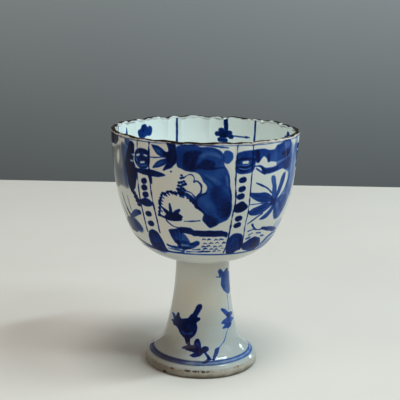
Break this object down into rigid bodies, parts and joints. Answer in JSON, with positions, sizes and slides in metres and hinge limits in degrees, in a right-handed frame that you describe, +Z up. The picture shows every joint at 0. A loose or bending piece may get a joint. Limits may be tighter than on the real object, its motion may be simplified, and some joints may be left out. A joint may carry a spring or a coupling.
{
  "type": "stem cup",
  "caption": "Porcelain stem cup: a deep lobed bowl with a scalloped, brown-dressed rim, luted onto a hollow trumpet stem with a flared foot ring, for drinking or display.",
  "frame": {"origin": "centre of the foot ring, on the surface that the cup stands on", "axes": "+Z up along the axis of the stem and bowl; -Y is the side that the picture shows"},
  "size_m": [0.092, 0.092, 0.12],
  "materials": {
    "bowl_porcelain": "glossy clear glaze over blue underglaze painting on a greyish-white body",
    "iron_brown": "semi-matt iron-brown dressing, chipped to the body in places",
    "luting_slip": "glazed over",
    "stem_porcelain": "glossy clear glaze over blue underglaze painting, with a bare biscuit foot ring"
  },
  "bodies": {
    "root": {"bowl": "bowl_porcelain", "rim_dressing": "iron_brown", "luting_slip": "luting_slip", "stem": "stem_porcelain"}
  },
  "joints": []
}
